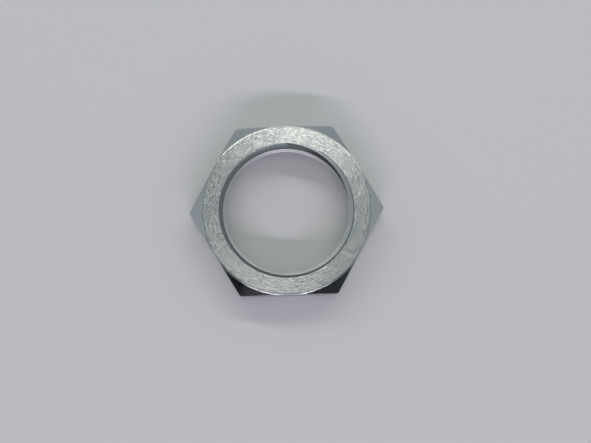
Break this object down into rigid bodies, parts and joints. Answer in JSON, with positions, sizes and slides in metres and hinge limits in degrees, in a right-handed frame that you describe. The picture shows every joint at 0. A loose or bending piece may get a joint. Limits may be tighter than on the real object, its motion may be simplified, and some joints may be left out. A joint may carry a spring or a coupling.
{
  "type": "jam nut",
  "caption": "Thin hexagonal jam nut with chamfered corners and a countersunk, threaded bore, for locking a threaded bushing against a panel.",
  "frame": {"origin": "on the thread axis, in the plane of the underside that the nut lies on", "axes": "+Z along the thread axis, up through the bore; X through two opposite corners of the hexagon; Y square to two opposite flats"},
  "size_m": [0.0182, 0.0158, 0.0032],
  "materials": {
    "zinc_plated_steel": "bright zinc plate over turned steel, faint concentric tool marks on the faces"
  },
  "bodies": {
    "root": {"jam_nut": "zinc_plated_steel"}
  },
  "joints": []
}
